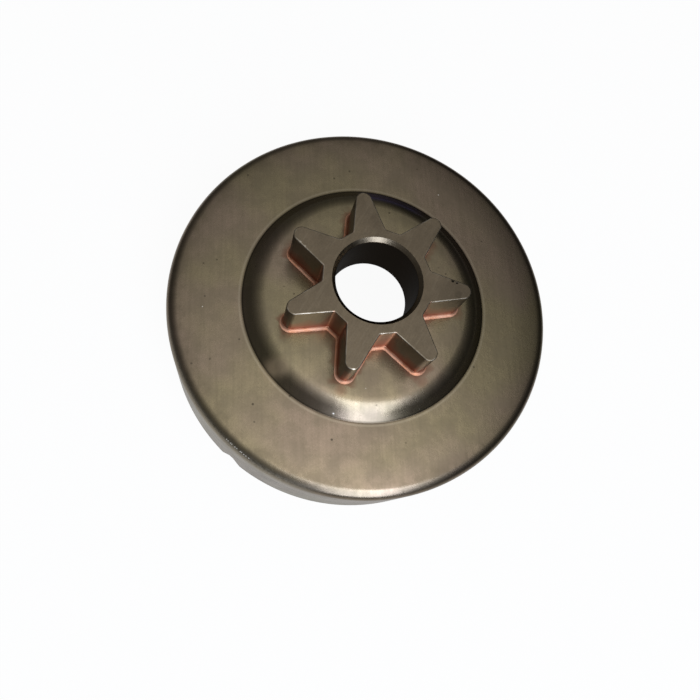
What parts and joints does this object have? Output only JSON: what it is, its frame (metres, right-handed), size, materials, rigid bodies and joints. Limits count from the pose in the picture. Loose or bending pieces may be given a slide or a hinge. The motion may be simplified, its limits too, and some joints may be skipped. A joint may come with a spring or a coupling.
{
  "type": "chainsaw spur sprocket",
  "caption": "Pressed steel clutch drum with a raised boss, a copper-brazed star sprocket that drives a saw chain, a bearing bore and a notched rim.",
  "frame": {"origin": "on the axis of rotation, in the plane of the open rim that the drum stands on", "axes": "+Z along the axis from the rim to the star, -Y through the notch in the rim"},
  "size_m": [0.079, 0.079, 0.032],
  "materials": {
    "drum_steel": "satin, bright-annealed in a brazing furnace",
    "star_steel": "satin, machined and furnace brazed",
    "braze_copper": "satin copper as it set"
  },
  "bodies": {
    "root": {"clutch_drum": "drum_steel", "spur_sprocket": "star_steel", "copper_braze": "braze_copper"}
  },
  "joints": []
}
